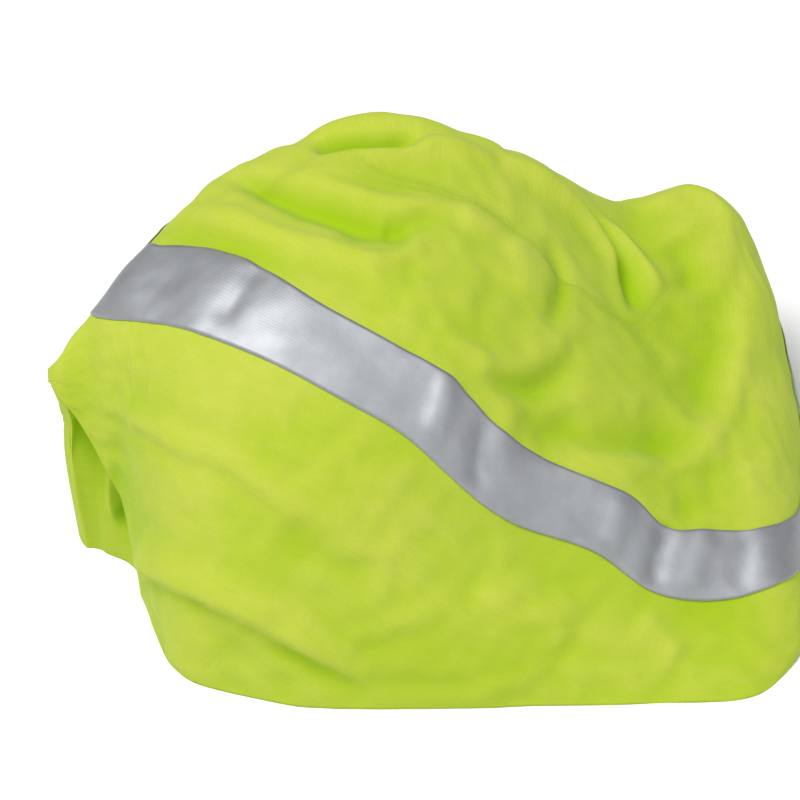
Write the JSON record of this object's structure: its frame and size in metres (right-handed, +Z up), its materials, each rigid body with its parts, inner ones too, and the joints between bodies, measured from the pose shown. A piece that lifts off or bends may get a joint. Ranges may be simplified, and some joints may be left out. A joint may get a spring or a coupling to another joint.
{
  "type": "high-visibility tubular headwear",
  "caption": "Seamless knitted tube headwear in fluorescent yellow, twisted and doubled into a soft cap, with a reflective band round it.",
  "frame": {"origin": "middle of the footprint, on the surface the rim rests on", "axes": "+X from the lifted pleat towards the low slouched end, +Y from the front, where the band crosses lowest, to the back, +Z up"},
  "size_m": [0.2172, 0.1629, 0.1042],
  "materials": {
    "knit": "matt fluorescent yellow knit",
    "hot_melt": "matt",
    "reflective": "silver glass-bead retroreflective",
    "label": "woven satin",
    "thread": "matt"
  },
  "bodies": {
    "root": {"knitted_tube": "knit", "adhesive_film": "hot_melt", "reflective_face": "reflective", "care_label": "label", "label_thread": "thread"}
  },
  "joints": []
}
